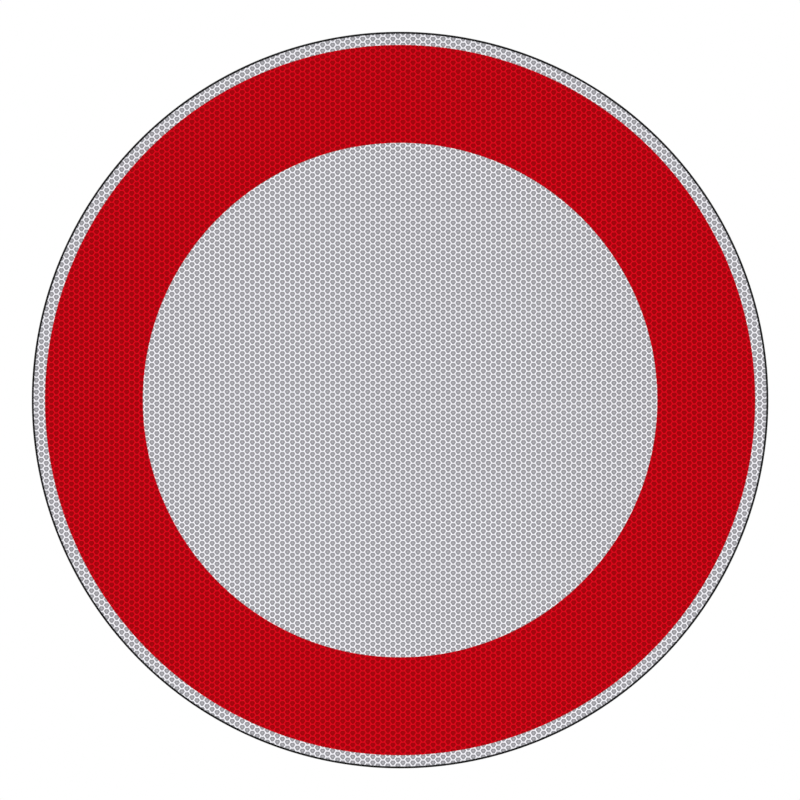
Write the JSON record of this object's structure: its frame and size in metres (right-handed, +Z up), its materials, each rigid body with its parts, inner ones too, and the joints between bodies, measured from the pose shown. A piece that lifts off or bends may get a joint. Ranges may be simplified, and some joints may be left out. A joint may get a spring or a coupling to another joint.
{
  "type": "no vehicles sign",
  "caption": "Round road sign with a red ring on white honeycomb reflective sheeting, a black rim profile, and clamp rails riveted across its back.",
  "frame": {"origin": "on the sign's axis, in the plane of the two rails' rear faces, where the post clamps bear", "axes": "the face looks along -Y, +X is to the right when seen from the front, +Z is up, and the post stands on the +Y side"},
  "size_m": [0.6014, 0.0218, 0.6014],
  "materials": {
    "blank_aluminium": "mill finish with a fine rolling grain",
    "white_sheeting": "white honeycomb cells under a clear glossy film",
    "red_film": "clear red over the honeycomb cells, glossy",
    "rim_coating": "black powder coat with a fine orange peel",
    "rail_aluminium": "extruded, with fine draw lines along the rail",
    "rivet_aluminium": "bright drawn rivets",
    "bonding_tape": "dark grey foam, matte"
  },
  "bodies": {
    "root": {"face_blank": "blank_aluminium", "reflective_sheeting": "white_sheeting", "red_band": "red_film", "rim_profile": "rim_coating", "rim_splice": "blank_aluminium", "splice_rivets": "rivet_aluminium", "upper_rail": "rail_aluminium", "lower_rail": "rail_aluminium", "upper_rail_tape": "bonding_tape", "lower_rail_tape": "bonding_tape", "upper_rail_rivets": "rivet_aluminium", "lower_rail_rivets": "rivet_aluminium"}
  },
  "joints": []
}
